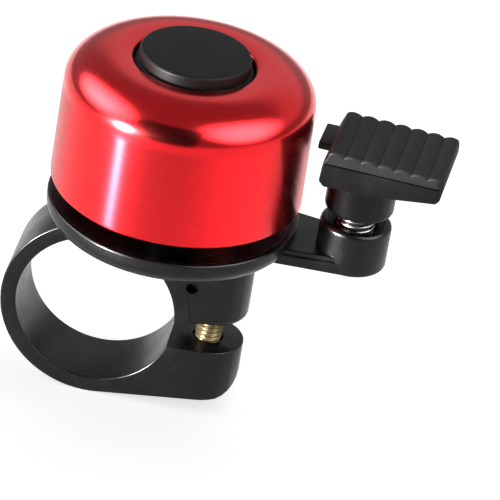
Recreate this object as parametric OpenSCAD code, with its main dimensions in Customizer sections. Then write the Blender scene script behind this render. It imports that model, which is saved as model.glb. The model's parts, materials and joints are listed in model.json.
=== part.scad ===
// Bicycle bell with a sprung thumb striker and a strap clamp for a 22.2 mm handlebar.
// Frame: the origin is the centre of the clamp bore, +Y runs along the handlebar,
// +Z runs along the dome's axis and +X runs along the striker arm.

/* [Clamp ring] */
// Radius of the clamp bore
bore_r = 11.25; // [11:0.05:11.6]
// Thickness of the strap round the bore
strap_t = 2.2; // [1.8:0.05:2.6]
// Width of the strap along the handlebar
strap_w = 11; // [10:0.5:12]
// Height of the upper lug's lower face above the bore's centre
upper_lug_z = 0.55; // [0.2:0.05:1.2]
// Height of the lower lug's upper face
lower_lug_z = -3.55; // [-4.2:0.05:-3.2]
// Slope of the lower lug's underside
underside_deg = 7; // [4:0.5:10]

/* [Clamp screw] */
// Distance of the clamp screw from the bore's centre
screw_x = 15.8; // [15.6:0.1:16]
// Radius of the lug's round end
lug_r = 5.05; // [4.9:0.05:5.2]
// Radius of the screw's thread
screw_r = 1.95; // [1.9:0.01:1.98]
// Length of the clamp screw under its head
screw_len = 20; // [18:1:21]
// Height of the seat under the clamp washer
seat_z = -7.4; // [-7.8:0.1:-7]
// Height of the nut's lower face
nut_z = 6.2; // [5.6:0.1:7]

/* [Base disc] */
// Distance of the dome's axis from the bore's centre
dome_x = 8.05; // [7.5:0.05:8.5]
// Height of the disc's underside
disc_z = 13.05; // [13:0.05:13.2]
// Height of the disc's floor and of the arm's top
floor_z = 15.4; // [15:0.1:15.8]
// Height of the disc's raised rim
lip_z = 16.55; // [16.2:0.05:16.8]
// Outer radius of the disc
disc_r = 17.5; // [17:0.1:18]
// Radius of the disc's underside
disc_foot_r = 15; // [14.5:0.1:16]
// Width of the raised rim
lip_w = 1.05; // [0.8:0.05:1.4]
// Radius of the post that carries the dome
post_r = 3.5; // [3.2:0.1:3.6]
// Height of the post's top
post_z = 32.9; // [32:0.1:33.5]

/* [Dome] */
// Height of the dome's rim
rim_z = 19.25; // [19:0.05:20]
// Outer radius at the rim
dome_r = 17.5; // [17:0.1:18]
// Outer radius where the shoulder starts
shoulder_r = 17.32; // [17:0.02:17.5]
// Height of the dome
dome_h = 19.35; // [18:0.05:21]
// Thickness of the dome's wall
dome_t = 1.2; // [0.8:0.1:1.5]
// Horizontal reach of the shoulder
shoulder_a = 6.5; // [5.5:0.1:7]
// Vertical reach of the shoulder
shoulder_b = 4.6; // [4:0.1:5.5]
// Radius of the seat pressed into the dome's top
seat_r = 8.37; // [8.2:0.01:8.6]
// Depth of the pressed seat
seat_depth = 2.4; // [2.2:0.1:2.6]

/* [Striker] */
// Distance of the striker's axis from the dome's axis
striker_dx = 25.4; // [25:0.1:26]
// Radius of the boss at the arm's end
boss_r = 5; // [4.6:0.1:5.2]
// Height of the boss's top
boss_z = 19.6; // [19.4:0.05:20]
// Height of the boss's foot
boss_foot_z = 12.85; // [12.6:0.05:13.05]
// Reach of the arm to the front at the disc
arm_front_w = 5.4; // [5:0.1:6]
// Reach of the arm to the back at the disc
arm_back_w = 6.6; // [5:0.1:7]
// Radius of the striker's socket
socket_r = 4.8; // [4.6:0.1:5]
// Height of the socket's lower end
socket_z = 21.25; // [21.2:0.05:22]
// Half the width of the striker block
block_half_w = 6.45; // [6:0.05:7]
// Height of the seam between the block and the thumb pad
seam_z = 30.3; // [30:0.1:30.6]
// Angle at which the striker rests about its own axis
striker_turn = -3.6; // [-6:0.2:6]
// Number of ribs on the thumb pad
rib_count = 7; // [5:1:9]

/* [Spring] */
// Outer radius of the spring
spring_r = 2.75; // [2.6:0.05:2.8]
// Thickness of the spring's wire
wire_d = 0.7; // [0.6:0.05:0.75]
// Number of turns
spring_turns = 12; // [9:1:12]

/* [Hidden] */
$fn = 96;

eps = 0.01;
cut = 1;
run_fit = 0.05;
loose_fit = 0.15;

strap_r = bore_r + strap_t;
half_w = strap_w / 2;
under_slope = tan(underside_deg);

// Clamp fastener sizes
head_r = 3.5;
head_h = 2.2;
washer_r = 3.85;
washer_t = 0.5;
counterbore_r = 4;
clear_r = 2.2;
nut_flats = 7;
nut_h = 3.2;
nut_corner_r = nut_flats / 2 / cos(30);
pocket_gap = 0.1;
corner_r = 3.2;
lug_right = screw_x + lug_r;
lug_round = 1.2;
mark_hole = [13.05, 6.45];
mark_hole_r = 0.85;
mark_hole_depth = 1.2;

// Dome fixing sizes
seat_floor = rim_z + dome_h - seat_depth;
dome_hole_r = 3.2;
bush_r = 6.5;
dome_washer_r = 6.3;
dome_washer_t = 0.7;
dome_head_r = 3.6;
dome_head_h = 1.8;
dome_screw_len = 14;
cap_r = 7.7;
cap_rise = 1.4;
cap_t = 0.9;
cap_top = rim_z + dome_h + cap_rise;
cap_inner_top = cap_top - cap_t;
cap_edge = 0.5;
cap_skirt_r = seat_r - 0.17;
cap_skirt_top = rim_z + dome_h - 0.6;
pilot_len = 11;

// Striker sizes
striker_x = dome_x + striker_dx;
spring_hole_r = spring_r + 0.1;
spring_z = [15.45, 25.5];
boss_floor_z = 15.4;
dish_r = 4.2;
dish_depth = 1.15;
lip_round = 0.75;
socket_top = 25.6;
socket_join_z = 27;
socket_round = 0.8;
spring_head_r = 3.4;
low_head_h = 1.3;
low_head_z = 13.15;
high_head_z = 28.6;
high_head_h = 1.5;
low_screw_len = 4.5;
high_screw_len = 6.2;
pad_left = -4.75;
pad_right = 11.5;
plan_corner = 1.1;
pad_foot_left = -5.2;
pad_top = 32.45;
pad_drop = 0.4;
pad_valley = 0.55;
rib_pitch = (pad_right - pad_left) / rib_count;
rib_r = 1.9;
pad_foot_h = 0.8;
peg_at = [[0, -5], [0, 5], [8.5, 0]];
peg_r = 1;
peg_len = 1.6;
peg_root = 0.5;
peg_gap = 0.2;

// Screw details
recess_half_w = 0.45;
recess_reach = 0.6;
point_h = 0.4;
crown_h = 0.5;
crown_w = 0.6;
clamp_recess = 1.4;
dome_recess = 1.1;
low_recess = 0.8;
high_recess = 0.9;

// Point k of n along a quarter ellipse that starts at angle 0
function quarter(a, b, k, n) = [a * cos(90 * k / n), b * sin(90 * k / n)];

// Ring of wire points for one step of the coil
function wire_ring(r, w, a, z, sides) = [
    for (s = [0 : sides - 1])
        let (rr = r + w * cos(360 * s / sides))
            [rr * cos(a), rr * sin(a), z + w * sin(360 * s / sides)]
];

// Places children in the striker's own frame: its axis is x = y = 0 and it rests turned
module striker_frame() {
    translate([striker_x, 0, 0])
        rotate([0, 0, striker_turn])
            children();
}

// Extrudes an x-z outline along y, from -half to +half
module across(half) {
    translate([0, half, 0])
        rotate([90, 0, 0])
            linear_extrude(2 * half)
                children();
}

// Plan outline shared by both lugs, round about the clamp screw
module lug_plan() {
    polygon([
        [-strap_r, -half_w], [bore_r, -half_w], [screw_x, -lug_r],
        [screw_x, lug_r], [bore_r, half_w], [-strap_r, half_w]
    ]);
    translate([screw_x, 0]) circle(lug_r);
}

// Side outline of the lower lug: a sloping underside and a round lower corner
module lower_lug_outline() {
    tangent = [strap_r * sin(underside_deg), -strap_r * cos(underside_deg)];
    arc = [lug_right - corner_r, tangent[1] + corner_r + (lug_right - corner_r - tangent[0]) * under_slope];
    polygon([
        tangent,
        [arc[0] + corner_r * sin(underside_deg), arc[1] - corner_r * cos(underside_deg)],
        arc,
        [lug_right, arc[1]],
        [lug_right, lower_lug_z],
        [0, lower_lug_z]
    ]);
    translate(arc) circle(corner_r);
}

module clamp_ring() {
    difference() {
        across(half_w) circle(strap_r);
        translate([0, -half_w - cut, lower_lug_z])
            cube([strap_r + cut, strap_w + 2 * cut, upper_lug_z - lower_lug_z]);
    }
}

module lower_lug() {
    intersection() {
        across(half_w) lower_lug_outline();
        translate([0, 0, -strap_r - cut]) linear_extrude(2 * strap_r) lug_plan();
    }
}

// Side outline of the upper lug, with a rounded lower corner
module upper_lug_outline() {
    arc = [lug_right - lug_round, upper_lug_z + lug_round];
    polygon([
        [0, upper_lug_z],
        [arc[0], upper_lug_z],
        arc,
        [lug_right, arc[1]],
        [lug_right, disc_z + eps],
        [0, disc_z + eps]
    ]);
    translate(arc) circle(lug_round);
}

module upper_lug() {
    intersection() {
        across(half_w) upper_lug_outline();
        linear_extrude(disc_z + eps) lug_plan();
    }
}

// Base disc with its raised rim, as one turned profile about the dome's axis
module base_disc() {
    steps = 8;
    edge_r = disc_r - disc_foot_r;
    edge_h = 2.4;
    translate([dome_x, 0, 0])
        rotate_extrude()
            polygon(concat(
                [[0, disc_z]],
                [for (k = [0 : steps])
                    let (q = quarter(edge_r, edge_h, steps - k, steps))
                        [disc_foot_r + q[0], disc_z + edge_h - q[1]]],
                [[disc_r, lip_z], [disc_r - lip_w, lip_z], [disc_r - lip_w, floor_z], [0, floor_z]]
            ));
}

module arm() {
    translate([0, 0, disc_z])
        linear_extrude(floor_z - disc_z)
            polygon([
                [dome_x, -arm_front_w], [dome_x + disc_foot_r, -arm_front_w], [striker_x, -boss_r],
                [striker_x, boss_r], [dome_x + disc_foot_r, arm_back_w], [dome_x, arm_back_w]
            ]);
}

// Boss at the arm's end, with a dished mouth round the spring
module boss() {
    translate([striker_x, 0, 0])
        rotate_extrude() {
            polygon([
                [0, boss_foot_z], [boss_r - lip_round, boss_foot_z], [boss_r, boss_foot_z + lip_round],
                [boss_r, boss_z - lip_round], [boss_r - lip_round, boss_z - lip_round],
                [boss_r - lip_round, boss_z], [dish_r, boss_z],
                [spring_hole_r, boss_z - dish_depth], [0, boss_z - dish_depth]
            ]);
            translate([boss_r - lip_round, boss_z - lip_round]) circle(lip_round);
        }
}

module boss_bores() {
    translate([striker_x, 0, boss_floor_z]) cylinder(r = spring_hole_r, h = boss_z);
    translate([striker_x, 0, boss_foot_z - cut]) cylinder(r = screw_r + run_fit, h = boss_z);
    translate([striker_x, 0, boss_foot_z - cut])
        cylinder(r = spring_head_r + pocket_gap, h = low_head_z + low_head_h - boss_foot_z + cut);
}

module clamp_bores() {
    translate([screw_x, 0, -strap_r]) cylinder(r = clear_r, h = floor_z);
    translate([screw_x, 0, seat_z - 2 * strap_r]) cylinder(r = counterbore_r, h = 2 * strap_r);
    translate([screw_x, 0, 0]) cylinder(r = clear_r, h = floor_z + cut);
    translate([screw_x, 0, nut_z])
        cylinder(r = nut_corner_r + pocket_gap, h = floor_z - nut_z + cut, $fn = 6);
}

module base_bracket() {
    color([0.13, 0.13, 0.135])
        difference() {
            union() {
                clamp_ring();
                lower_lug();
                upper_lug();
                base_disc();
                translate([dome_x, 0, floor_z - eps]) cylinder(r = post_r, h = post_z - floor_z + eps);
                arm();
                boss();
            }
            across(half_w + cut) circle(bore_r);
            clamp_bores();
            boss_bores();
            translate([dome_x, 0, post_z - pilot_len])
                cylinder(r = screw_r + run_fit, h = pilot_len + cut);
            translate([mark_hole[0], -half_w - cut, mark_hole[1]])
                rotate([-90, 0, 0])
                    cylinder(r = mark_hole_r, h = cut + mark_hole_depth, $fn = 48);
        }
}

module bell_dome() {
    steps = 16;
    shoulder_z = dome_h - shoulder_b;
    flat_r = shoulder_r - shoulder_a;
    seat_h = dome_h - seat_depth;
    edge = 0.5;
    rim_round = 0.3;
    color([0.86, 0.1, 0.14])
        translate([dome_x, 0, rim_z])
            rotate_extrude()
                polygon(concat(
                    [[dome_r - dome_t + rim_round, 0], [dome_r - rim_round, 0], [dome_r, rim_round]],
                    [for (k = [0 : steps])
                        let (q = quarter(shoulder_a, shoulder_b, k, steps))
                            [flat_r + q[0], shoulder_z + q[1]]],
                    [[seat_r + edge, dome_h], [seat_r + edge * 0.3, dome_h - edge * 0.3],
                     [seat_r, dome_h - edge], [seat_r, seat_h], [dome_hole_r, seat_h],
                     [dome_hole_r, seat_h - dome_t], [seat_r + dome_t, seat_h - dome_t],
                     [seat_r + dome_t, dome_h - dome_t]],
                    [for (k = [steps : -1 : 0])
                        let (q = quarter(shoulder_a - dome_t, shoulder_b - dome_t, k, steps))
                            [flat_r + q[0], shoulder_z + q[1]]],
                    [[dome_r - dome_t, rim_round]]
                ));
}

module dome_bush() {
    bush_z = seat_floor - dome_t;
    color([0.2, 0.2, 0.2])
        translate([dome_x, 0, 0])
            difference() {
                union() {
                    translate([0, 0, post_z]) cylinder(r = bush_r, h = bush_z - post_z);
                    translate([0, 0, post_z])
                        cylinder(r = dome_hole_r - run_fit, h = seat_floor - post_z - run_fit);
                }
                translate([0, 0, post_z - cut]) cylinder(r = screw_r + loose_fit, h = dome_h);
            }
}

module dome_washer() {
    color([0.75, 0.76, 0.78])
        translate([dome_x, 0, seat_floor])
            difference() {
                cylinder(r = dome_washer_r, h = dome_washer_t);
                translate([0, 0, -cut]) cylinder(r = screw_r + loose_fit, h = dome_washer_t + 2 * cut);
            }
}

// Cross recess of a screw head, cut downwards from z = 0
module cross_recess(reach, depth) {
    for (a = [0, 90])
        rotate([0, 0, a])
            translate([-reach, -recess_half_w, -depth])
                cube([2 * reach, 2 * recess_half_w, depth + cut]);
}

// Screw that points down: its head stands on z = 0
module cross_screw(thread_r, length, cap_radius, cap_height, recess) {
    difference() {
        union() {
            translate([0, 0, -length + point_h]) cylinder(r = thread_r, h = length - point_h);
            translate([0, 0, -length]) cylinder(r1 = thread_r - point_h, r2 = thread_r, h = point_h);
            cylinder(r = cap_radius, h = cap_height - crown_h);
            translate([0, 0, cap_height - crown_h])
                cylinder(r1 = cap_radius, r2 = cap_radius - crown_w, h = crown_h);
        }
        translate([0, 0, cap_height]) cross_recess(cap_radius * recess_reach, recess);
    }
}

module dome_screw() {
    color([0.75, 0.76, 0.78])
        translate([dome_x, 0, seat_floor + dome_washer_t])
            cross_screw(screw_r, dome_screw_len, dome_head_r, dome_head_h, dome_recess);
}

// Hollow cap that clips over the washer and hides the dome's screw
module centre_cap() {
    color([0.15, 0.15, 0.15])
        translate([dome_x, 0, 0])
            rotate_extrude()
                union() {
                    polygon([
                        [0, cap_inner_top], [dome_washer_r + run_fit, cap_inner_top],
                        [dome_washer_r + run_fit, seat_floor + run_fit],
                        [cap_skirt_r, seat_floor + run_fit], [cap_skirt_r, cap_skirt_top],
                        [cap_r, cap_skirt_top], [cap_r, cap_top - cap_edge],
                        [cap_r - cap_edge, cap_top], [0, cap_top]
                    ]);
                    translate([cap_r - cap_edge, cap_top - cap_edge]) circle(cap_edge);
                }
}

module clamp_screw() {
    color([0.72, 0.6, 0.36])
        translate([screw_x, 0, seat_z - washer_t])
            rotate([180, 0, 0])
                cross_screw(screw_r, screw_len, head_r, head_h, clamp_recess);
}

module clamp_washer() {
    color([0.72, 0.6, 0.36])
        translate([screw_x, 0, seat_z - washer_t])
            difference() {
                cylinder(r = washer_r, h = washer_t);
                translate([0, 0, -cut]) cylinder(r = screw_r + loose_fit, h = washer_t + 2 * cut);
            }
}

module clamp_nut() {
    color([0.72, 0.6, 0.36])
        translate([screw_x, 0, nut_z])
            difference() {
                cylinder(r = nut_corner_r, h = nut_h, $fn = 6);
                translate([0, 0, -cut]) cylinder(r = screw_r + run_fit, h = nut_h + 2 * cut);
            }
}

module lower_spring_screw() {
    color([0.7, 0.71, 0.73])
        translate([striker_x, 0, low_head_z + low_head_h])
            rotate([180, 0, 0])
                cross_screw(screw_r, low_screw_len, spring_head_r, low_head_h, low_recess);
}

module upper_spring_screw() {
    color([0.7, 0.71, 0.73])
        translate([striker_x, 0, high_head_z])
            cross_screw(screw_r, high_screw_len, spring_head_r, high_head_h, high_recess);
}

// Close-wound coil whose ends sit in the boss and in the striker's socket
module striker_spring() {
    sides = 8;
    per_turn = 24;
    rings = spring_turns * per_turn;
    wire_r = wire_d / 2;
    mean_r = spring_r - wire_r;
    z0 = spring_z[0] + wire_r;
    rise = spring_z[1] - spring_z[0] - wire_d;
    points = [
        for (i = [0 : rings])
            each wire_ring(mean_r, wire_r, 360 * i / per_turn, z0 + rise * i / rings, sides)
    ];
    walls = [
        for (i = [0 : rings - 1], s = [0 : sides - 1])
            let (t = (s + 1) % sides)
                [i * sides + s, (i + 1) * sides + s, (i + 1) * sides + t, i * sides + t]
    ];
    first = [for (s = [0 : sides - 1]) s];
    last = [for (s = [sides - 1 : -1 : 0]) rings * sides + s];
    color([0.8, 0.81, 0.83])
        translate([striker_x, 0, 0])
            polyhedron(points, concat(walls, [first, last]));
}

// Plan outline of the block and the pad: the two corners at the tip are rounded
module tip_plan() {
    hull() {
        translate([pad_foot_left - plan_corner, -block_half_w])
            square([plan_corner, 2 * block_half_w]);
        for (side = [-1, 1])
            translate([pad_right - plan_corner, side * (block_half_w - plan_corner)])
                circle(plan_corner);
    }
}

// Wedge-shaped block under the thumb pad, in the striker's own frame
module block_outline() {
    polygon([
        [-5.35, 27.6], [-4.65, 26.85], [1.5, 26.85], [10.75, 28.1], [11.25, 28.6],
        [pad_right, seam_z], [pad_foot_left, seam_z]
    ]);
}

module striker_body() {
    nub_left = -7;
    nub_root = -4.7;
    nub_z = [28.95, 30.05];
    nub_y = [-0.2, 5.8];
    color([0.16, 0.16, 0.165])
        striker_frame()
            difference() {
                union() {
                    rotate_extrude() {
                        translate([socket_r - socket_round, socket_z + socket_round]) circle(socket_round);
                        translate([0, socket_z])
                            square([socket_r - socket_round, socket_join_z - socket_z]);
                        translate([0, socket_z + socket_round])
                            square([socket_r, socket_join_z - socket_z - socket_round]);
                    }
                    intersection() {
                        across(block_half_w) block_outline();
                        linear_extrude(pad_top) tip_plan();
                    }
                    translate([nub_left, nub_y[0], nub_z[0]])
                        cube([nub_root - nub_left, nub_y[1] - nub_y[0], nub_z[1] - nub_z[0]]);
                }
                translate([0, 0, socket_z - cut])
                    cylinder(r = spring_hole_r, h = socket_top - socket_z + cut);
                translate([0, 0, socket_z]) cylinder(r = screw_r + run_fit, h = seam_z);
                translate([0, 0, high_head_z]) cylinder(r = spring_head_r + pocket_gap, h = seam_z);
                for (at = peg_at)
                    translate([at[0], at[1], seam_z - peg_len - peg_gap])
                        cylinder(r = peg_r + run_fit, h = seam_z);
            }
}

// Side outline of the thumb pad: its right end leans outwards and its ribs stand in a row
module pad_outline() {
    slope = pad_drop / (pad_right - pad_left);
    valley_z = pad_top - pad_valley;
    polygon([
        [pad_foot_left, seam_z],
        [pad_right, seam_z],
        [pad_right, valley_z - pad_drop],
        [pad_left, valley_z]
    ]);
    for (k = [0 : rib_count - 1])
        let (x = pad_left + rib_pitch * (k + 0.5))
            intersection() {
                translate([x, pad_top - rib_r - (x - pad_left) * slope]) circle(rib_r);
                translate([x - rib_pitch / 2, seam_z + pad_foot_h])
                    square([rib_pitch, pad_top - seam_z]);
            }
}

// Ribbed plate that clips on top of the striker block
module thumb_pad() {
    color([0.24, 0.24, 0.245])
        striker_frame()
            union() {
                intersection() {
                    across(block_half_w) pad_outline();
                    linear_extrude(pad_top + pad_drop) tip_plan();
                }
                for (at = peg_at)
                    translate([at[0], at[1], seam_z - peg_len])
                        cylinder(r = peg_r, h = peg_len + peg_root);
            }
}

bell_dome();
centre_cap();
dome_screw();
dome_washer();
dome_bush();
base_bracket();
clamp_screw();
clamp_washer();
clamp_nut();
lower_spring_screw();
striker_spring();
striker_body();
upper_spring_screw();
thumb_pad();
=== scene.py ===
"""Looks of the bicycle bell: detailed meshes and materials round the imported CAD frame.

Shapes are built in millimetres in the row frame and scaled to metres when a piece is finished.
"""
import json
import math

import bmesh
import bpy
from mathutils import Matrix, Vector


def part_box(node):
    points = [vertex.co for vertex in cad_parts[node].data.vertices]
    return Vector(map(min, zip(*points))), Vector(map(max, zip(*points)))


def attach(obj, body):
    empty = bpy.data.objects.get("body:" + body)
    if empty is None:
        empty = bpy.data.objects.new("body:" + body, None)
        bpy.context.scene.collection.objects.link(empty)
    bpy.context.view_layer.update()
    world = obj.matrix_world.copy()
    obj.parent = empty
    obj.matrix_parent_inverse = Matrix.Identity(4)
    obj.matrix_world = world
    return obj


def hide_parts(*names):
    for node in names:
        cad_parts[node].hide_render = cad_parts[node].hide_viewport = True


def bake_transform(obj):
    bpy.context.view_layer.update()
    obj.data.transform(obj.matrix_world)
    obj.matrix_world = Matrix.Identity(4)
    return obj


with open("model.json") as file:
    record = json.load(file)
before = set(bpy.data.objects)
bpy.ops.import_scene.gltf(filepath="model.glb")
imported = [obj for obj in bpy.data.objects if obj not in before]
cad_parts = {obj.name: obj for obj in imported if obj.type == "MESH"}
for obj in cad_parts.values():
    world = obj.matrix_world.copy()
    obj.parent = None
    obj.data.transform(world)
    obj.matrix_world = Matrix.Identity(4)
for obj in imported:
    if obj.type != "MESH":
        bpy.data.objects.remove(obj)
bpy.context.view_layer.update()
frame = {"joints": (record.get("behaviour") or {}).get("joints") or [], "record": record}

MM = 0.001
ARC_STEPS = 6
ROUND_SEGMENTS = 128
SMALL_SEGMENTS = 64


# ---------------------------------------------------------------- sizes, in mm

def node_box(node):
    """Lowest and highest corner of a CAD node, in millimetres."""
    low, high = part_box(node)
    return low / MM, high / MM


DOME_LOW, DOME_HIGH = node_box("bell_dome")
CAP_LOW, CAP_HIGH = node_box("centre_cap")
BASE_LOW = node_box("base_bracket")[0]
BODY_LOW = node_box("striker_body")[0]
PAD_HIGH = node_box("thumb_pad")[1]
SPRING_LOW, SPRING_HIGH = node_box("striker_spring")
SCREW_LOW, SCREW_HIGH = node_box("clamp_screw")
NUT_LOW, NUT_HIGH = node_box("clamp_nut")

MOUNT = frame["record"]["mounts"][0]
JOINTS = {joint["name"]: joint for joint in frame["joints"]}
SWING_POINT = Vector(JOINTS["striker_swing"]["pos_m"]) / MM

DOME_X = (DOME_LOW.x + DOME_HIGH.x) / 2
DOME_R = (DOME_HIGH.x - DOME_LOW.x) / 2
RIM_Z = DOME_LOW.z
DOME_TOP = DOME_HIGH.z
DOME_T = 1.2
SHOULDER_R = 17.32
SHOULDER_A = 6.5
SHOULDER_B = 4.6
SEAT_R = 8.37
SEAT_DEPTH = 2.4
DOME_HOLE_R = 3.2
CAP_R = 7.7
CAP_T = 0.9
CAP_SKIRT_DROP = 0.6
BUSH_R = 6.5
BUSH_SPIGOT_H = 1.15
DOME_WASHER_R = 6.3
DOME_WASHER_T = 0.7

BORE_R = MOUNT["dims"]["r_mm"]
STRAP_HALF_W = MOUNT["dims"]["length_mm"] / 2
STRAP_R = -BASE_LOW.x
UPPER_LUG_Z = 0.55
LOWER_LUG_Z = -3.55
UNDERSIDE = math.radians(7)
SCREW_X = (SCREW_LOW.x + SCREW_HIGH.x) / 2
LUG_R = 5.05
LUG_ROUND = 1.2
CORNER_R = 3.2
EDGE = 0.18
SCREW_R = 1.95
SEAT_Z = -7.4
HEAD_R = 3.5
HEAD_H = 2.2
WASHER_R = 3.85
WASHER_T = 0.5
COUNTERBORE_R = 4.0
SHANK_HOLE_R = 2.2
WASHER_HOLE_R = 2.1
THREAD_FIT = 0.05

DISC_Z = 13.05
FLOOR_Z = 15.4
LIP_Z = 16.55
LIP_W = 1.05
DISC_FOOT_R = 15.0
POST_R = 3.5
POST_Z = 32.9
PILOT_DEPTH = 11
STEP_Z = 14.7

STRIKER_X = SWING_POINT.x
STRIKER_TURN = math.radians(-3.6)
BOSS_R = 5.0
BOSS_Z = 19.6
BOSS_FOOT_Z = 12.85
ARM_FRONT_W = 5.4
ARM_BACK_W = 6.6
LOW_SEAT_Z = 14.45
HIGH_SEAT_Z = 28.6
HEAD_POCKET_R = 3.5
SPRING_R = (SPRING_HIGH.x - SPRING_LOW.x) / 2
SPRING_HOLE_R = SPRING_R + 0.1
WIRE_R = 0.35
SPRING_TURNS = 12
SOCKET_R = 4.8
SOCKET_Z = BODY_LOW.z
SEAM_Z = 30.3
BLOCK_HALF_W = 6.45
PAD_LEFT = -4.75
PAD_RIGHT = 11.5
PAD_FOOT_LEFT = -5.2
PLAN_CORNER = 1.1
RIB_COUNT = 7
RIB_R = 1.9
PAD_DROP = 0.4
SOCKET_TOP = 25.6
PEGS = ((0, -5), (0, 5), (8.5, 0))
PEG_R = 1.0
PEG_LEN = 1.6
PEG_FIT = 0.05
OVER = 1


# ------------------------------------------------------------- mesh functions

def fillet_path(corners, closed=True, steps=ARC_STEPS):
    """Outline through corners (x, z, radius), each rounded by an arc of that radius."""
    path = []
    last = len(corners) - 1
    for i, (x, z, radius) in enumerate(corners):
        here = Vector((x, z))
        if radius <= 0 or (not closed and i in (0, last)):
            path.append(here)
            continue
        before = (Vector(corners[i - 1][:2]) - here).normalized()
        after = (Vector(corners[(i + 1) % len(corners)][:2]) - here).normalized()
        half = before.angle(after) / 2
        reach = radius / math.tan(half)
        centre = here + (before + after).normalized() * (radius / math.sin(half))
        start = here + before * reach - centre
        end = here + after * reach - centre
        first = math.atan2(start.y, start.x)
        sweep = (math.atan2(end.y, end.x) - first + math.pi) % (2 * math.pi) - math.pi
        for k in range(steps + 1):
            angle = first + sweep * k / steps
            path.append(centre + radius * Vector((math.cos(angle), math.sin(angle))))
    return path


def ring_faces(bm, rings, closed):
    """Joins neighbouring rings of vertices with faces; a ring of one vertex is a pole."""
    count = len(rings)
    for i in range(count if closed else count - 1):
        low, high = rings[i], rings[(i + 1) % count]
        sides = max(len(low), len(high))
        if sides == 1:
            continue
        for s in range(sides):
            t = (s + 1) % sides
            corners = [low[s % len(low)], low[t % len(low)], high[t % len(high)], high[s % len(high)]]
            unique = list(dict.fromkeys(corners))
            if len(unique) > 2:
                bm.faces.new(unique)


def lathe(profile, centre=(0, 0, 0), segments=ROUND_SEGMENTS, wobble=None):
    """Turned solid about +Z from points (radius, height); it closes at the axis or on itself."""
    bm = bmesh.new()
    rings = []
    for radius, height in profile:
        if radius < 1e-6:
            rings.append([bm.verts.new((centre[0], centre[1], centre[2] + height))])
            continue
        ring = []
        for s in range(segments):
            angle = 2 * math.pi * s / segments
            r = radius + (wobble(radius, height, angle) if wobble else 0)
            ring.append(bm.verts.new((
                centre[0] + r * math.cos(angle),
                centre[1] + r * math.sin(angle),
                centre[2] + height,
            )))
        rings.append(ring)
    at_axis = profile[0][0] < 1e-6 and profile[-1][0] < 1e-6
    ring_faces(bm, rings, closed=not at_axis)
    return bm


def extrusion(outline, half, round_r=0.0, steps=4):
    """Solid with an x-z outline that runs along y from -half to half, its two end edges rounded."""
    count = len(outline)
    area = sum(
        outline[i].x * outline[(i + 1) % count].y - outline[(i + 1) % count].x * outline[i].y
        for i in range(count)
    )
    turn = 1 if area > 0 else -1
    inward = []
    for i in range(count):
        a = (outline[i] - outline[i - 1]).normalized()
        b = (outline[(i + 1) % count] - outline[i]).normalized()
        normal_a = Vector((-a.y, a.x)) * turn
        normal_b = Vector((-b.y, b.x)) * turn
        both = normal_a + normal_b
        both = both.normalized() if both.length > 1e-6 else normal_a
        inward.append(both / max(0.4, both.dot(normal_a)))
    levels = []
    for k in range(steps + 1) if round_r else [0]:
        angle = math.pi / 2 * k / max(steps, 1)
        inset = round_r * (1 - math.sin(angle)) if round_r else 0
        depth = half - (round_r * (1 - math.cos(angle)) if round_r else 0)
        levels.append((inset, depth))
    stations = [(inset, -depth) for inset, depth in levels]
    stations += [(inset, depth) for inset, depth in reversed(levels)]
    bm = bmesh.new()
    rings = []
    for inset, y in stations:
        rings.append([
            bm.verts.new((p.x + n.x * inset, y, p.y + n.y * inset))
            for p, n in zip(outline, inward)
        ])
    ring_faces(bm, rings, closed=False)
    bm.faces.new(rings[0])
    bm.faces.new(reversed(rings[-1]))
    return bm


def ball_directions(step_deg=22.5):
    """Unit vectors spread over a ball, the six axis directions included."""
    rows = int(180 / step_deg)
    found = [Vector((0, 0, 1)), Vector((0, 0, -1))]
    for i in range(1, rows):
        latitude = math.radians(i * step_deg)
        for j in range(2 * rows):
            longitude = math.radians(j * step_deg)
            found.append(Vector((
                math.sin(latitude) * math.cos(longitude),
                math.sin(latitude) * math.sin(longitude),
                math.cos(latitude),
            )))
    return found


def rounded_hull(points, radius):
    """Convex solid round the points, each taken as a ball of that radius."""
    bm = bmesh.new()
    for point in points:
        for direction in ball_directions():
            bm.verts.new(Vector(point) + direction * radius)
    hull = bmesh.ops.convex_hull(bm, input=bm.verts)
    spare = {g for g in hull["geom_interior"] + hull["geom_unused"] if isinstance(g, bmesh.types.BMVert)}
    bmesh.ops.delete(bm, geom=list(spare), context="VERTS")
    bmesh.ops.dissolve_limit(bm, angle_limit=math.radians(0.5), verts=bm.verts, edges=bm.edges)
    return bm


def box_solid(low, high):
    """Plain box between two corners."""
    bm = bmesh.new()
    bmesh.ops.create_cube(bm, size=1)
    middle = (Vector(low) + Vector(high)) / 2
    size = Vector(high) - Vector(low)
    bmesh.ops.scale(bm, vec=size, verts=bm.verts)
    bmesh.ops.translate(bm, vec=middle, verts=bm.verts)
    return bm


def moved(bm, matrix):
    """The same solid, transformed."""
    bmesh.ops.transform(bm, matrix=matrix, verts=bm.verts)
    return bm


def solid(bm, name="solid"):
    """Object in millimetres made from a bmesh."""
    bmesh.ops.recalc_face_normals(bm, faces=bm.faces)
    mesh = bpy.data.meshes.new(name)
    bm.to_mesh(mesh)
    bm.free()
    made = bpy.data.objects.new(name, mesh)
    bpy.context.scene.collection.objects.link(made)
    return made


def combine(target, tool_bm, operation):
    """Adds the tool to the target or cuts it away, and drops the tool."""
    tool = solid(tool_bm, "tool")
    modifier = target.modifiers.new("combine", "BOOLEAN")
    modifier.operation = operation
    modifier.solver = "EXACT"
    modifier.object = tool
    graph = bpy.context.evaluated_depsgraph_get()
    mesh = bpy.data.meshes.new_from_object(target.evaluated_get(graph))
    target.modifiers.clear()
    old = target.data
    target.data = mesh
    bpy.data.meshes.remove(old)
    spent = tool.data
    bpy.data.objects.remove(tool)
    bpy.data.meshes.remove(spent)


def add(target, tool_bm):
    combine(target, tool_bm, "UNION")


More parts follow.
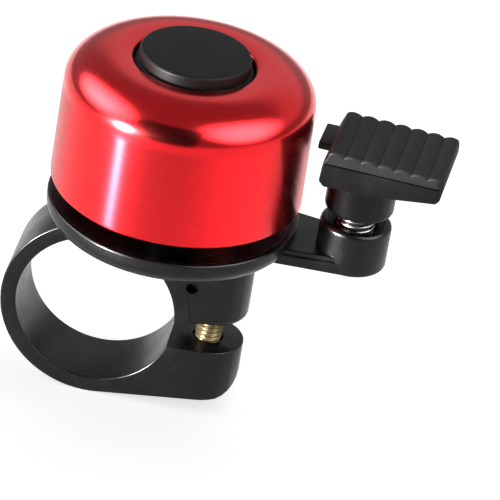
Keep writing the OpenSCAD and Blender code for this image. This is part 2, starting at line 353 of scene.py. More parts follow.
def cut(target, tool_bm):
    combine(target, tool_bm, "DIFFERENCE")


def finish_piece(made, name, material, nodes, body=None, sharp_deg=38):
    """Scales a piece to metres, shades it smooth by angle and puts it on its body."""
    mesh = made.data
    mesh.transform(Matrix.Scale(MM, 4))
    bm = bmesh.new()
    bm.from_mesh(mesh)
    bmesh.ops.remove_doubles(bm, verts=bm.verts, dist=2e-7)
    bm.to_mesh(mesh)
    bm.free()
    mesh.polygons.foreach_set("use_smooth", [True] * len(mesh.polygons))
    mesh.set_sharp_from_angle(angle=math.radians(sharp_deg))
    mesh.materials.clear()
    mesh.materials.append(material)
    made.name = name
    mesh.name = name
    if body:
        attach(made, body)
    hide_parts(*nodes)
    return made


# ------------------------------------------------------------------ materials

class Nodes:
    """Short way to build one procedural material."""

    def __init__(self, name):
        self.material = bpy.data.materials.new(name)
        self.material.use_nodes = True
        self.tree = self.material.node_tree
        self.shader = self.tree.nodes["Principled BSDF"]
        self.coordinates = self.tree.nodes.new("ShaderNodeTexCoord").outputs["Object"]

    def link(self, out, socket):
        self.tree.links.new(out, socket)

    def stretched(self, scale):
        """Object coordinates scaled by three numbers."""
        node = self.tree.nodes.new("ShaderNodeMapping")
        node.inputs["Scale"].default_value = scale
        self.link(self.coordinates, node.inputs["Vector"])
        return node.outputs["Vector"]

    def noise(self, scale, detail=4.0, roughness=0.55, vector=None):
        node = self.tree.nodes.new("ShaderNodeTexNoise")
        node.inputs["Scale"].default_value = scale
        node.inputs["Detail"].default_value = detail
        node.inputs["Roughness"].default_value = roughness
        self.link(vector or self.coordinates, node.inputs["Vector"])
        return node.outputs["Fac"]

    def mapped(self, value, low, high, from_low=0.3, from_high=0.7):
        """Value moved from one range to another."""
        node = self.tree.nodes.new("ShaderNodeMapRange")
        node.inputs["From Min"].default_value = from_low
        node.inputs["From Max"].default_value = from_high
        node.inputs["To Min"].default_value = low
        node.inputs["To Max"].default_value = high
        self.link(value, node.inputs["Value"])
        return node.outputs["Result"]

    def mixed(self, factor, first, second):
        """Two colours mixed by a factor."""
        node = self.tree.nodes.new("ShaderNodeMix")
        node.data_type = "RGBA"
        node.inputs["A"].default_value = (*first, 1)
        node.inputs["B"].default_value = (*second, 1)
        self.link(factor, node.inputs["Factor"])
        return node.outputs["Result"]

    def bump(self, height, strength, distance, below=None):
        node = self.tree.nodes.new("ShaderNodeBump")
        node.inputs["Strength"].default_value = strength
        node.inputs["Distance"].default_value = distance
        self.link(height, node.inputs["Height"])
        if below:
            self.link(below, node.inputs["Normal"])
        return node.outputs["Normal"]

    def set(self, **values):
        """Sets or links sockets of the shader; names use _ for a space."""
        for key, value in values.items():
            socket = self.shader.inputs[key.replace("_", " ")]
            if isinstance(value, bpy.types.NodeSocket):
                self.link(value, socket)
            elif isinstance(value, tuple):
                socket.default_value = (*value, 1)
            else:
                socket.default_value = value
        return self.material


def red_metal():
    """Red lacquer over spun metal: turned lines draw reflections out along the wall only."""
    n = Nodes("red_metal")
    rings = n.noise(1.0, detail=3, vector=n.stretched((120, 120, 14000)))
    cloud = n.noise(120, detail=2)
    split = n.tree.nodes.new("ShaderNodeSeparateXYZ")
    n.link(n.coordinates, split.inputs["Vector"])
    shoulder_z = DOME_TOP - SHOULDER_B
    wall = n.mapped(split.outputs["Z"], 1, 0, (shoulder_z - 1.0) * MM, (shoulder_z + 1.5) * MM)
    rough = n.tree.nodes.new("ShaderNodeMath")
    rough.operation = "ADD"
    n.link(n.mapped(rings, -0.03, 0.04), rough.inputs[0])
    n.link(n.mapped(wall, 0.15, 0.27, 0, 1), rough.inputs[1])
    tangent = n.tree.nodes.new("ShaderNodeTangent")
    tangent.direction_type = "RADIAL"
    tangent.axis = "Z"
    return n.set(
        Base_Color=n.mixed(cloud, (0.68, 0.007, 0.011), (0.73, 0.009, 0.014)),
        Metallic=1.0,
        Roughness=rough.outputs["Value"],
        Anisotropic=n.mapped(wall, 0.3, 1.0, 0, 1),
        Coat_Weight=0.25,
        Coat_Roughness=0.22,
        Anisotropic_Rotation=0.25,
        Tangent=tangent.outputs["Tangent"],
        Normal=n.bump(rings, 0.04, 0.00002),
    )


def black_plastic(name, colour, roughness, grain, specular=0.3):
    """Moulded black plastic with a fine grain and uneven gloss."""
    n = Nodes(name)
    patches = n.noise(220, detail=5)
    fine = n.noise(5200, detail=2)
    light = tuple(c * 1.5 for c in colour)
    return n.set(
        Base_Color=n.mixed(patches, colour, light),
        Roughness=n.mapped(patches, roughness - 0.06, roughness + 0.08),
        Specular_IOR_Level=specular,
        Normal=n.bump(fine, grain, 0.00003),
    )


def plated_metal(name, colour, dark, roughness):
    """Plated steel with faint stains and scratches."""
    n = Nodes(name)
    stains = n.noise(700, detail=6, roughness=0.65)
    scratches = n.noise(1.0, detail=2, vector=n.stretched((900, 900, 7000)))
    return n.set(
        Base_Color=n.mixed(n.mapped(stains, 0, 1, 0.4, 0.75), colour, dark),
        Metallic=1.0,
        Roughness=n.mapped(stains, roughness, roughness + 0.18),
        Normal=n.bump(scratches, 0.15, 0.00002),
    )


RED = red_metal()
BASE_PLASTIC = black_plastic("base_plastic", (0.004, 0.004, 0.0043), 0.26, 0.10, 0.2)
CAP_PLASTIC = black_plastic("cap_plastic", (0.009, 0.009, 0.0092), 0.45, 0.2, 0.07)
STRIKER_PLASTIC = black_plastic("striker_plastic", (0.0045, 0.0045, 0.0048), 0.3, 0.12, 0.14)
PAD_PLASTIC = black_plastic("pad_plastic", (0.012, 0.012, 0.0122), 0.58, 0.5, 0.1)
BUSH_RUBBER = black_plastic("bush_rubber", (0.03, 0.03, 0.03), 0.7, 0.5)
STEEL = plated_metal("steel", (0.62, 0.63, 0.65), (0.4, 0.4, 0.41), 0.25)
SPRING_STEEL = plated_metal("spring_steel", (0.22, 0.22, 0.222), (0.12, 0.12, 0.12), 0.18)
YELLOW_ZINC = plated_metal("yellow_zinc", (0.12, 0.092, 0.048), (0.06, 0.048, 0.03), 0.35)


# ----------------------------------------------------------------------- dome

def quarter_ellipse(a, b, steps):
    """Points from the end of the horizontal axis up to the top of a quarter ellipse."""
    return [
        Vector((a * math.cos(math.pi / 2 * k / steps), b * math.sin(math.pi / 2 * k / steps)))
        for k in range(steps + 1)
    ]


def make_dome():
    height = DOME_TOP - RIM_Z
    seat_h = height - SEAT_DEPTH
    flat_r = SHOULDER_R - SHOULDER_A
    shoulder_z = height - SHOULDER_B
    lip = DOME_T / 2 - 0.02
    outer = [Vector((flat_r, shoulder_z)) + p for p in quarter_ellipse(SHOULDER_A, SHOULDER_B, 28)]
    inner = [
        Vector((flat_r, shoulder_z)) + p
        for p in quarter_ellipse(SHOULDER_A - DOME_T, SHOULDER_B - DOME_T, 16)
    ]
    rim = fillet_path([
        (SHOULDER_R - DOME_T, shoulder_z, 0), (DOME_R - DOME_T, 0, lip),
        (DOME_R, 0, lip), (SHOULDER_R, shoulder_z, 0),
    ], closed=False)
    seat = fillet_path([
        (flat_r, height, 0), (SEAT_R, height, 0.45), (SEAT_R, seat_h, 0.3), (DOME_HOLE_R, seat_h, 0.15),
        (DOME_HOLE_R, seat_h - DOME_T, 0.15), (SEAT_R + DOME_T, seat_h - DOME_T, 0.9),
        (SEAT_R + DOME_T, height - DOME_T, 0.15), (flat_r, height - DOME_T, 0),
    ], closed=False)
    profile = rim[1:-1] + outer + seat[1:-1] + list(reversed(inner))
    made = solid(lathe(profile, (DOME_X, 0, RIM_Z), 192))
    return finish_piece(made, "dome_shell", RED, ["bell_dome"], "base")


def make_cap():
    """Cap that clips over the dome's washer, with a skirt that fills the seat."""
    skirt_r = (CAP_HIGH.x - CAP_LOW.x) / 2
    skirt_z = DOME_TOP - CAP_SKIRT_DROP
    inner_r = DOME_WASHER_R + 0.05
    inner_z = CAP_HIGH.z - CAP_T
    profile = fillet_path([
        (0, inner_z, 0), (inner_r, inner_z, 0.2), (inner_r, CAP_LOW.z, 0.1),
        (skirt_r, CAP_LOW.z, 0.2), (skirt_r, skirt_z, 0.15), (CAP_R, skirt_z, 0.15),
        (CAP_R - 0.05, CAP_HIGH.z, 0.45), (0, CAP_HIGH.z, 0),
    ], closed=False)
    made = solid(lathe(profile, (DOME_X, 0, 0), 160))
    return finish_piece(made, "cap_cover", CAP_PLASTIC, ["centre_cap"], "base")


# --------------------------------------------------------------- base moulding

def lug_points(half_w, end_r, levels):
    """Plan outline of a lug, round about the clamp screw, repeated at each height."""
    plan = [(0, -half_w), (BORE_R, -half_w), (0, half_w), (BORE_R, half_w)]
    for k in range(17):
        angle = math.radians(-90 + 180 * k / 16)
        plan.append((SCREW_X + end_r * math.cos(angle), end_r * math.sin(angle)))
    return [(x, y, z) for x, y in plan for z in levels]


def upper_lug():
    half_w = STRAP_HALF_W - EDGE
    points = lug_points(half_w, LUG_R - EDGE, [DISC_Z + 1])
    low = UPPER_LUG_Z + EDGE
    reach = LUG_ROUND - EDGE
    for k in range(7):
        angle = math.pi / 2 * k / 6
        shrink = reach * (1 - math.cos(angle))
        points += [
            p for p in lug_points(half_w, LUG_R - EDGE - shrink, [low + reach * (1 - math.sin(angle))])
            if p[0] > BORE_R or k == 6
        ]
    return rounded_hull(points, EDGE)


def lower_lug():
    """Lower lug: its underside slopes up from the ring and turns up round a large corner."""
    edge = EDGE
    half_w = STRAP_HALF_W - edge
    tangent = Vector((STRAP_R * math.sin(UNDERSIDE), -STRAP_R * math.cos(UNDERSIDE)))
    up = Vector((-math.sin(UNDERSIDE), math.cos(UNDERSIDE))) * edge
    end_r = LUG_R - edge
    right = SCREW_X + end_r
    inner_corner = CORNER_R - edge
    centre_x = right - inner_corner
    centre_z = tangent.y + up.y + inner_corner + (centre_x - tangent.x) * math.tan(UNDERSIDE)
    points = lug_points(half_w, end_r, [LOWER_LUG_Z - edge])
    for y in (-half_w, half_w):
        points.append((tangent.x + up.x, y, tangent.y + up.y))
    for k in range(17):
        angle = math.radians(-90 + 180 * k / 16)
        x = SCREW_X + end_r * math.cos(angle)
        y = end_r * math.sin(angle)
        across = x - centre_x
        if across > 0:
            z = centre_z - math.sqrt(max(inner_corner ** 2 - across ** 2, 0))
        else:
            z = tangent.y + up.y + (x - tangent.x) * math.tan(UNDERSIDE)
        points.append((x, y, z))
    return rounded_hull(points, edge)


def ring_solid():
    """Full strap disc about the bore's axis with rounded outer edges."""
    profile = fillet_path([
        (0, -STRAP_HALF_W, 0), (STRAP_R, -STRAP_HALF_W, EDGE),
        (STRAP_R, STRAP_HALF_W, EDGE), (0, STRAP_HALF_W, 0),
    ], closed=False)
    return moved(lathe(profile, segments=160), Matrix.Rotation(math.pi / 2, 4, "X"))


def bore_cutter():
    """Cutter for the clamp bore, flared at both ends so that the bore's edges come out rounded."""
    edge = EDGE
    over = 1.0
    half = []
    for k in range(ARC_STEPS + 1):
        angle = math.pi / 2 * k / ARC_STEPS
        z = STRAP_HALF_W - edge + edge * math.sin(angle)
        half.append((BORE_R + edge * (1 - math.cos(angle)), z))
    outside = [(BORE_R + edge, STRAP_HALF_W + over), (0, STRAP_HALF_W + over)]
    upper = half + outside
    profile = [(r, -z) for r, z in reversed(upper)] + upper
    return moved(lathe(profile, segments=160), Matrix.Rotation(math.pi / 2, 4, "X"))


def disc_solid():
    """Base disc: a shallow tray with a raised rim and a side that rounds in to the underside."""
    edge_h = 2.4
    side = [
        Vector((DISC_FOOT_R, DISC_Z + edge_h)) + Vector((p.x, -p.y))
        for p in quarter_ellipse(DOME_R - DISC_FOOT_R, edge_h, 12)
    ]
    top = fillet_path([
        (DOME_R, DISC_Z + edge_h, 0), (DOME_R, LIP_Z, 0.3), (DOME_R - LIP_W, LIP_Z, 0.25),
        (DOME_R - LIP_W, FLOOR_Z, 0.4), (0, FLOOR_Z, 0),
    ], closed=False)
    profile = [Vector((0, DISC_Z))] + list(reversed(side)) + top[1:]
    return lathe(profile, (DOME_X, 0, 0), 192)


def post_solid():
    profile = fillet_path([
        (0, FLOOR_Z - 0.5, 0), (POST_R + 0.8, FLOOR_Z - 0.5, 0), (POST_R + 0.8, FLOOR_Z + 0.05, 0),
        (POST_R, FLOOR_Z + 0.9, 0.4), (POST_R, POST_Z, 0.2), (0, POST_Z, 0),
    ], closed=False)
    return lathe(profile, (DOME_X, 0, 0), SMALL_SEGMENTS)


def arm_layer(z0, z1, inset, edge, end_x):
    """One layer of the arm, which tapers from the disc to the boss."""
    root = DOME_X + DISC_FOOT_R
    half = BOSS_R - 0.1
    points = []
    for z in (z0 + edge, z1 - edge):
        for side, wide in ((-1, ARM_FRONT_W), (1, ARM_BACK_W)):
            points.append((DOME_X + 6, side * (wide - inset - edge), z))
            points.append((root, side * (wide - inset - edge), z))
            points.append((end_x, side * (half - inset - edge), z))
    return rounded_hull(points, edge)


def boss_solid():
    """Boss at the arm's end: a rounded foot, a rolled lip and a dished mouth round the spring."""
    dish_r = 4.2
    dish_z = BOSS_Z - 1.15
    profile = fillet_path([
        (0, BOSS_FOOT_Z, 0), (BOSS_R, BOSS_FOOT_Z, 0.7), (BOSS_R, BOSS_Z, 0.75), (dish_r - 0.1, BOSS_Z, 0.1),
        (SPRING_HOLE_R, dish_z, 0.3), (SPRING_HOLE_R, FLOOR_Z, 0), (0, FLOOR_Z, 0),
    ], closed=False)
    return lathe(profile, (STRIKER_X, 0, 0), 96)


def bored(made, x, radius, low, high, segments=SMALL_SEGMENTS):
    """Cuts an upright round hole, or a hexagonal one with six segments."""
    cut(made, lathe([(0, low), (radius, low), (radius, high), (0, high)], (x, 0, 0), segments))


def make_base():
    thread_hole_r = SCREW_R + THREAD_FIT
    made = solid(ring_solid())
    add(made, upper_lug())
    add(made, lower_lug())
    cut(made, bore_cutter())
    cut(made, box_solid(
        (4, -STRAP_HALF_W - OVER, LOWER_LUG_Z + 0.02),
        (STRAP_R + OVER, STRAP_HALF_W + OVER, UPPER_LUG_Z - 0.02),
    ))
    add(made, disc_solid())
    add(made, arm_layer(DISC_Z, STEP_Z, 0, 0.2, STRIKER_X))
    add(made, arm_layer(STEP_Z - 0.5, FLOOR_Z - 0.01, 0.25, 0.15, STRIKER_X - 1.6))
    add(made, boss_solid())
    add(made, post_solid())

    bored(made, STRIKER_X, thread_hole_r, BOSS_FOOT_Z - OVER, FLOOR_Z + OVER)
    bored(made, STRIKER_X, HEAD_POCKET_R, BOSS_FOOT_Z - OVER, LOW_SEAT_Z)
    bored(made, DOME_X, thread_hole_r, POST_Z - PILOT_DEPTH, POST_Z + OVER)
    bored(made, SCREW_X, SHANK_HOLE_R, -STRAP_R, FLOOR_Z + OVER)
    bored(made, SCREW_X, COUNTERBORE_R, -STRAP_R - 2 * OVER, SEAT_Z)
    bored(made, SCREW_X, (NUT_HIGH.x - NUT_LOW.x) / 2 + 0.1, NUT_LOW.z, FLOOR_Z + OVER, 6)
    mark = [(0, -1), (1.0, -1), (0.85, 0.15), (0.85, 1.2), (0, 1.2)]
    mark_at = (13.05, -STRAP_HALF_W + 0.2, 6.45)
    cut(made, moved(
        lathe(mark, segments=32),
        Matrix.Translation(mark_at) @ Matrix.Rotation(-math.pi / 2, 4, "X"),
    ))
    return finish_piece(
        made, "base_moulding", BASE_PLASTIC, ["base_bracket"], "base",
    )


# ------------------------------------------------------------ screws and nuts

def thread_wobble(pitch, depth, start, end):
    """Radius change that cuts a thread between two heights."""
    def wobble(radius, height, angle):
        if not start <= height <= end or radius < SCREW_R - 0.6:
            return 0.0
        fade = min(1.0, (height - start) / pitch, (end - height) / pitch)
        phase = (height / pitch - angle / (2 * math.pi)) % 1.0
        return -depth * fade * min(1.0, 2.6 * abs(phase - 0.5))
    return wobble


def cross_screw(length, head_r, head_h, recess, pitch=0.7):
    """Screw that points down from z = 0, with its head on top and a cross recess."""
    tip = 0.5
    threaded = length - tip
    count = int(threaded / 0.09)
    rows = [Vector((SCREW_R, -(threaded - (threaded - 0.3) * k / count))) for k in range(count + 1)]
    head = fillet_path([
        (SCREW_R, -0.3, 0), (SCREW_R, 0, 0), (head_r, 0, 0.12),
        (head_r, head_h, 0.5), (0, head_h, 0),
    ], closed=False)
    profile = [Vector((0, -length)), Vector((SCREW_R - tip, -length))] + rows + head[1:]
    wobble = thread_wobble(pitch, 0.32, -length + tip * 0.5, -0.6)
    made = solid(lathe(profile, segments=SMALL_SEGMENTS, wobble=wobble))
    reach = head_r * 0.58
    for turn in (0, math.pi / 2):
        slot = extrusion(
            fillet_path([
                (-reach, head_h + 1, 0), (-reach, head_h - 0.2, 0), (-reach * 0.45, head_h - recess, 0.1),
                (reach * 0.45, head_h - recess, 0.1), (reach, head_h - 0.2, 0), (reach, head_h + 1, 0),
            ]),
            0.42,
        )
        cut(made, moved(slot, Matrix.Rotation(turn, 4, "Z")))
    return made


def placed_screw(name, at, flip, size, material, node, body):
    made = cross_screw(*size)
    place = Matrix.Translation(at)
    if flip:
        place = place @ Matrix.Rotation(math.pi, 4, "X")
    made.data.transform(place)
    return finish_piece(made, name, material, [node], body)


def washer(name, centre, outer, inner, thick, material, node, body, edge=0.12):
    profile = fillet_path([
        (inner, 0, edge), (outer, 0, edge), (outer, thick, edge), (inner, thick, edge),
    ], steps=3)
    made = solid(lathe(profile, centre, 96))
    return finish_piece(made, name, material, [node], body)


def make_nut():
    corner_r = (NUT_HIGH.x - NUT_LOW.x) / 2
    height = NUT_HIGH.z - NUT_LOW.z
    flats = corner_r * math.cos(math.pi / 6)
    block = [(0, 0), (corner_r, 0), (corner_r, height), (0, height)]
    made = solid(lathe(block, (SCREW_X, 0, NUT_LOW.z), 6))
    chamfer = (corner_r - flats) * 0.6
    keep = lathe(
        [
            (0, 0), (flats, 0), (corner_r, chamfer),
            (corner_r, height - chamfer), (flats, height), (0, height),
        ],
        (SCREW_X, 0, NUT_LOW.z), 96,
    )
    combine(made, keep, "INTERSECT")
    hole = fillet_path([
        (0, -OVER, 0), (SCREW_R + 0.6, -OVER, 0), (SCREW_R + THREAD_FIT, 0.4, 0),
        (SCREW_R + THREAD_FIT, height - 0.4, 0), (SCREW_R + 0.6, height + OVER, 0), (0, height + OVER, 0),
    ], closed=False)
    cut(made, lathe(hole, (SCREW_X, 0, NUT_LOW.z), SMALL_SEGMENTS))
    return finish_piece(made, "nut", YELLOW_ZINC, ["clamp_nut"], "base")


def make_fasteners():
    seat_floor = DOME_TOP - SEAT_DEPTH
    washer(
        "dome_fixing_washer", (DOME_X, 0, seat_floor), DOME_WASHER_R, WASHER_HOLE_R, DOME_WASHER_T,
        STEEL, "dome_washer", "base",
    )
    placed_screw(
        "dome_fixing_screw", (DOME_X, 0, seat_floor + DOME_WASHER_T), False, (14, 3.6, 1.8, 1.1),
        STEEL, "dome_screw", "base",
    )
    washer(
        "strap_washer", (SCREW_X, 0, SEAT_Z - WASHER_T), WASHER_R, WASHER_HOLE_R, WASHER_T,
        YELLOW_ZINC, "clamp_washer", "screw_washer",
    )
    placed_screw(
        "strap_screw", (SCREW_X, 0, SEAT_Z - WASHER_T), True, (20, HEAD_R, HEAD_H, 1.4),
        YELLOW_ZINC, "clamp_screw", "screw",
    )
    make_nut()
    placed_screw(
        "spring_screw_below", (STRIKER_X, 0, LOW_SEAT_Z), True, (4.5, 3.4, 1.3, 0.8),
        STEEL, "lower_spring_screw", "base",
    )
    placed_screw(
        "spring_screw_above", (STRIKER_X, 0, HIGH_SEAT_Z), False, (6.2, 3.4, 1.5, 0.9),
        STEEL, "upper_spring_screw", "striker",
    )


def make_bush():
    seat_under = DOME_TOP - SEAT_DEPTH - DOME_T
    spigot = DOME_HOLE_R - 0.05
    spigot_z = seat_under + BUSH_SPIGOT_H
    profile = fillet_path([
        (WASHER_HOLE_R, POST_Z, 0.1), (BUSH_R, POST_Z, 0.35), (BUSH_R, seat_under, 0.35),
        (spigot, seat_under, 0), (spigot, spigot_z, 0.15), (WASHER_HOLE_R, spigot_z, 0.1),
    ])
    made = solid(lathe(profile, (DOME_X, 0, 0), 96))
    return finish_piece(made, "isolating_bush", BUSH_RUBBER, ["dome_bush"], "base")


# --------------------------------------------------------------------- spring

def coil(z_low, z_high):
    """Part of the spring's wire between two heights of its centre line."""
    mean_r = SPRING_R - WIRE_R
    bottom = SPRING_LOW.z + WIRE_R
    rise = SPRING_HIGH.z - SPRING_LOW.z - 2 * WIRE_R
    per_turn = 40
    sides = 12
    total = SPRING_TURNS * per_turn
    first = round(total * (z_low - bottom) / rise)
    last = round(total * (z_high - bottom) / rise)
    bm = bmesh.new()
    rings = []
    for i in range(max(first, 0), min(last, total) + 1):
        angle = 2 * math.pi * i / per_turn
        z = bottom + rise * i / total
        ring = []
        for s in range(sides):
            a = 2 * math.pi * s / sides
            r = mean_r + WIRE_R * math.cos(a)
            ring.append(bm.verts.new((
                STRIKER_X + r * math.cos(angle), r * math.sin(angle), z + WIRE_R * math.sin(a),
            )))
        rings.append(ring)
    ring_faces(bm, rings, closed=False)
    bm.faces.new(rings[0])
    bm.faces.new(reversed(rings[-1]))
    return bm


def make_spring():
    """The coil in two pieces, split at the height of the striker's swing point."""
    middle = SWING_POINT.z
    lower = finish_piece(
        solid(coil(SPRING_LOW.z, middle)), "spring_lower", SPRING_STEEL,
        ["striker_spring"], sharp_deg=60,
    )
    upper = finish_piece(
        solid(coil(middle, SPRING_HIGH.z)), "spring_upper", SPRING_STEEL,
        ["striker_spring"], sharp_deg=60,
    )
    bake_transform(lower)
    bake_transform(upper)


# -------------------------------------------------------------------- striker

TURN = Matrix.Translation((STRIKER_X, 0, 0)) @ Matrix.Rotation(STRIKER_TURN, 4, "Z")


def cut_to_plan(made, low_z):
    """Rounds the two upright corners at the tip of the block or the pad."""
    slack = 0.01
    half = BLOCK_HALF_W + slack
    tip = PAD_RIGHT + slack
    tail = -9
    plan = fillet_path([
        (tail, -half, 0), (tip, -half, PLAN_CORNER), (tip, half, PLAN_CORNER), (tail, half, 0),
    ], steps=10)
    high_z = PAD_HIGH.z + OVER
    middle = (low_z + high_z) / 2
    keep = moved(extrusion(plan, high_z - middle), Matrix.Rotation(-math.pi / 2, 4, "X"))
    mirror = Matrix.Scale(-1, 4, (0, 1, 0))
    combine(made, moved(keep, Matrix.Translation((0, 0, middle)) @ mirror), "INTERSECT")


def nub_solid():
    """Nub that strikes the dome, narrower in front than at its root."""
    edge = 0.2
    low_z, high_z = 28.95, 30.05
    tip = (-7.0 + edge, 0.0, 5.5)
    root = (-4.6, -0.2 + edge, 5.8 - edge)
    return rounded_hull([
        (x, y, z)
        for x, y0, y1 in (tip, root)
        for y in (y0, y1)
        for z in (low_z + edge, high_z - edge)
    ], edge)


def make_striker():
    """Block under the pad, with the socket that takes the spring and the nub."""
    socket = fillet_path([
        (0, SOCKET_Z, 0), (SOCKET_R, SOCKET_Z, 0.8), (SOCKET_R, 28, 0), (0, 28, 0),
    ], closed=False)
    block = fillet_path([
        (-5.35, 27.55, 0.4), (-4.65, 26.85, 0.4), (1.5, 26.85, 2),
        (10.75, 28.1, 0.4), (11.25, 28.6, 0.4),
        (PAD_RIGHT, SEAM_Z, 0.25), (PAD_FOOT_LEFT, SEAM_Z, 0.25),
    ])
    made = solid(extrusion(block, BLOCK_HALF_W, 0.15))
    cut_to_plan(made, 26)
    add(made, lathe(socket, segments=96))
    add(made, nub_solid())
    mouth = fillet_path([
        (0, SOCKET_Z - OVER, 0), (SPRING_HOLE_R + 0.5, SOCKET_Z - OVER, 0),
        (SPRING_HOLE_R, SOCKET_Z + 0.4, 0.3), (SPRING_HOLE_R, SOCKET_TOP, 0), (0, SOCKET_TOP, 0),
    ], closed=False)
    cut(made, lathe(mouth, segments=SMALL_SEGMENTS))
    bored(made, 0, SCREW_R + THREAD_FIT, 25, SEAM_Z)
    bored(made, 0, HEAD_POCKET_R, HIGH_SEAT_Z, SEAM_Z + OVER)
    for x, y in PEGS:
        hole = [(0, 28.5), (PEG_R + PEG_FIT, 28.5), (PEG_R + PEG_FIT, SEAM_Z + OVER), (0, SEAM_Z + OVER)]
        cut(made, lathe(hole, (x, y, 0), 32))
    made.data.transform(TURN)
    return finish_piece(
        made, "striker_block", STRIKER_PLASTIC, ["striker_body"], "striker",
    )


def pad_section(inset, drop_top):
    """Side outline of the pad from its lower left corner: flat below, ribs above, shrunk by the inset."""
    end_r = 0.45
    seam_gap = 0.03
    slope = PAD_DROP / (PAD_RIGHT - PAD_LEFT)
    pitch = (PAD_RIGHT - PAD_LEFT) / RIB_COUNT
    spread = math.asin(pitch / 2 / RIB_R)
    low = SEAM_Z + seam_gap + min(inset, 0.12)
    outline = [Vector((PAD_FOOT_LEFT + inset, low)), Vector((PAD_RIGHT - inset, low))]
    left, right = PAD_LEFT + inset, PAD_RIGHT - inset
    for k in reversed(range(RIB_COUNT)):
        x = PAD_LEFT + pitch * (k + 0.5)
        top = PAD_HIGH.z - drop_top - slope * (x - PAD_LEFT)
        for s in range(13):
            angle = math.pi / 2 - spread + 2 * spread * s / 12
            px = x + RIB_R * math.cos(angle)
            pz = top - RIB_R + RIB_R * math.sin(angle)
            outer = max(px - right + end_r, left + end_r - px, 0.0)
            shift = end_r - math.sqrt(max(end_r ** 2 - outer ** 2, 0)) if outer > 0 else 0.0
            outline.append(Vector((min(max(px, left), right), pz - shift)))
    return outline


def make_pad():
    """Ribbed plate: seven ridges across it, their ends rounded over."""
    round_r = 0.45
    small = 0.25
    steps = 8
    levels = []
    for k in range(steps + 1):
        angle = math.pi / 2 * k / steps
        levels.append((
            small * (1 - math.sin(angle)),
            round_r * (1 - math.sin(angle)),
            BLOCK_HALF_W - round_r * (1 - math.cos(angle)),
        ))
    stations = [(inset, drop, -y) for inset, drop, y in levels]
    stations += [(inset, drop, y) for inset, drop, y in reversed(levels)]
    bm = bmesh.new()
    rings = [
        [bm.verts.new((p.x, y, p.y)) for p in pad_section(inset, drop)]
        for inset, drop, y in stations
    ]
    ring_faces(bm, rings, closed=False)
    bm.faces.new(rings[0])
    bm.faces.new(reversed(rings[-1]))
    bmesh.ops.remove_doubles(bm, verts=bm.verts, dist=1e-4)
    made = solid(bm)
    cut_to_plan(made, SEAM_Z - 1)
    root_z = SEAM_Z + 0.5
    foot_z = SEAM_Z - PEG_LEN
    for x, y in PEGS:
        add(made, lathe([(0, foot_z), (PEG_R, foot_z), (PEG_R, root_z), (0, root_z)], (x, y, 0), 32))
    made.data.transform(TURN)
    return finish_piece(made, "ribbed_pad", PAD_PLASTIC, ["thumb_pad"], "striker")


make_dome()
make_cap()
make_base()
make_fasteners()
make_bush()
make_spring()
make_striker()
make_pad()


# ---------------------------------------------------- floor, light and camera

def make_floor():
    bm = bmesh.new()
    bmesh.ops.create_grid(bm, x_segments=1, y_segments=1, size=2000)
    floor = solid(bm, "floor")
    floor.data.transform(Matrix.Scale(MM, 4))
    floor.location.z = BASE_LOW.z * MM
    n = Nodes("floor_white")
    floor.data.materials.append(n.set(
        Base_Color=(0.8, 0.8, 0.8), Roughness=0.7, Specular_IOR_Level=0.1,
        Emission_Color=(1, 1, 1), Emission_Strength=0.7,
    ))


def towards(azimuth, elevation):
    """Direction from the bell; azimuth 0 is the camera's side and grows to the right."""
    a, e = math.radians(azimuth) + CAMERA_AZIMUTH, math.radians(elevation)
    return Vector((math.sin(a) * math.cos(e), -math.cos(a) * math.cos(e), math.sin(e)))


def area_light(name, azimuth, elevation, distance, width, height, radiance, reflected):
    """Softbox aimed at the bell, seen only in reflections or never in them."""
    direction = towards(azimuth, elevation)
    data = bpy.data.lights.new(name, "AREA")
    data.shape = "RECTANGLE"
    data.size, data.size_y = width, height
    data.energy = radiance * math.pi * width * height
    made = bpy.data.objects.new(name, data)
    bpy.context.scene.collection.objects.link(made)
    made.visible_camera = False
    made.visible_diffuse = not reflected
    made.visible_glossy = reflected
    made.location = Vector((DOME_X, 0, 20)) * MM + direction * distance
    made.rotation_mode = "QUATERNION"
    made.rotation_quaternion = (-direction).to_track_quat("-Z", "Y")


def card(name, azimuth, elevation, distance, width, height):
    """Flat card, in metres, that only reflections see."""
    direction = towards(azimuth, elevation)
    bm = bmesh.new()
    bmesh.ops.create_grid(bm, x_segments=1, y_segments=1, size=1)
    made = solid(bm, name)
    made.location = Vector((DOME_X, 0, 20)) * MM + direction * distance
    made.rotation_mode = "QUATERNION"
    made.rotation_quaternion = (-direction).to_track_quat("-Z", "Y")
    made.scale = (width / 2, height / 2, 1)
    made.visible_camera = False
    made.visible_diffuse = False
    made.visible_shadow = False
    return made


def dark_card(name, *place):
    """Black card that keeps the light out of a reflection."""
    n = Nodes(name)
    card(name, *place).data.materials.append(
        n.set(Base_Color=(0.01, 0.01, 0.01), Roughness=0.9, Specular_IOR_Level=0.0)
    )


def glow_card(name, azimuth, elevation, distance, width, height, radiance, core=0.5):
    """Softbox with a soft edge: full brightness up to the core, then fading to nothing."""
    n = Nodes(name)
    ball = n.tree.nodes.new("ShaderNodeTexGradient")
    ball.gradient_type = "SPHERICAL"
    n.link(n.coordinates, ball.inputs["Vector"])
    emission = n.tree.nodes.new("ShaderNodeEmission")
    n.link(n.mapped(ball.outputs["Fac"], 0, radiance, 0, 1 - core), emission.inputs["Strength"])
    clear = n.tree.nodes.new("ShaderNodeBsdfTransparent")
    both = n.tree.nodes.new("ShaderNodeAddShader")
    n.link(emission.outputs["Emission"], both.inputs[0])
    n.link(clear.outputs["BSDF"], both.inputs[1])
    n.link(both.outputs["Shader"], n.tree.nodes["Material Output"].inputs["Surface"])
    n.tree.nodes.remove(n.shader)
    card(name, azimuth, elevation, distance, width, height).data.materials.append(n.material)


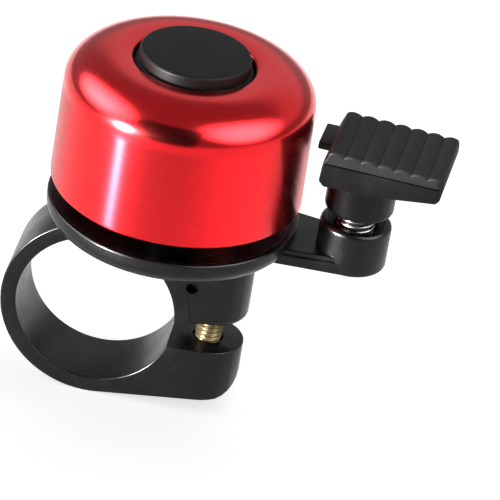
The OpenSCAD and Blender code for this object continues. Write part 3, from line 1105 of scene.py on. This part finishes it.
def make_world():
    world = bpy.data.worlds.new("studio")
    bpy.context.scene.world = world
    world.use_nodes = True
    background = world.node_tree.nodes["Background"]
    background.inputs["Color"].default_value = (1, 1, 1, 1)
    background.inputs["Strength"].default_value = 0.36


def make_camera():
    """Long lens from the front, 30 degrees above, tilted so that the bell leans to the right."""
    data = bpy.data.cameras.new("camera")
    data.sensor_width = 36
    data.lens = 276.2
    camera = bpy.data.objects.new("camera", data)
    bpy.context.scene.collection.objects.link(camera)
    camera.location = Vector((54.495, -458.808, 278.814)) * MM
    rotation = Matrix((
        CAMERA_RIGHT, CAMERA_UP, CAMERA_BACK,
    )).transposed()
    camera.rotation_mode = "QUATERNION"
    camera.rotation_quaternion = rotation.to_quaternion()
    bpy.context.scene.camera = camera


CAMERA_AZIMUTH = math.radians(4.343)
CAMERA_ELEVATION = math.radians(30.177)
CAMERA_ROLL = math.radians(-9.517)
CAMERA_BACK = Vector((
    math.sin(CAMERA_AZIMUTH) * math.cos(CAMERA_ELEVATION),
    -math.cos(CAMERA_AZIMUTH) * math.cos(CAMERA_ELEVATION),
    math.sin(CAMERA_ELEVATION),
))
LEVEL_RIGHT = (-CAMERA_BACK).cross(Vector((0, 0, 1))).normalized()
LEVEL_DOWN = (-CAMERA_BACK).cross(LEVEL_RIGHT)
CAMERA_RIGHT = math.cos(CAMERA_ROLL) * LEVEL_RIGHT + math.sin(CAMERA_ROLL) * LEVEL_DOWN
CAMERA_UP = CAMERA_BACK.cross(CAMERA_RIGHT)

make_floor()
make_world()
area_light("box_above", 150, 62, 0.9, 0.6, 0.6, 1.4, False)
area_light("strip_left", -51, 6, 0.7, 0.06, 0.15, 2600, True)
glow_card("glow_left", -92, 37, 0.6, 0.87, 0.62, 22, 0.0)
glow_card("glow_right", 66, 42, 0.6, 0.85, 0.85, 12, 0.3)
glow_card("glow_back", 145, 31, 0.9, 2.4, 0.55, 0.42, 0.5)
dark_card("card_front", -14, 22, 0.3, 0.3, 0.5)
make_camera()
bpy.context.scene.view_settings.view_transform = "Standard"
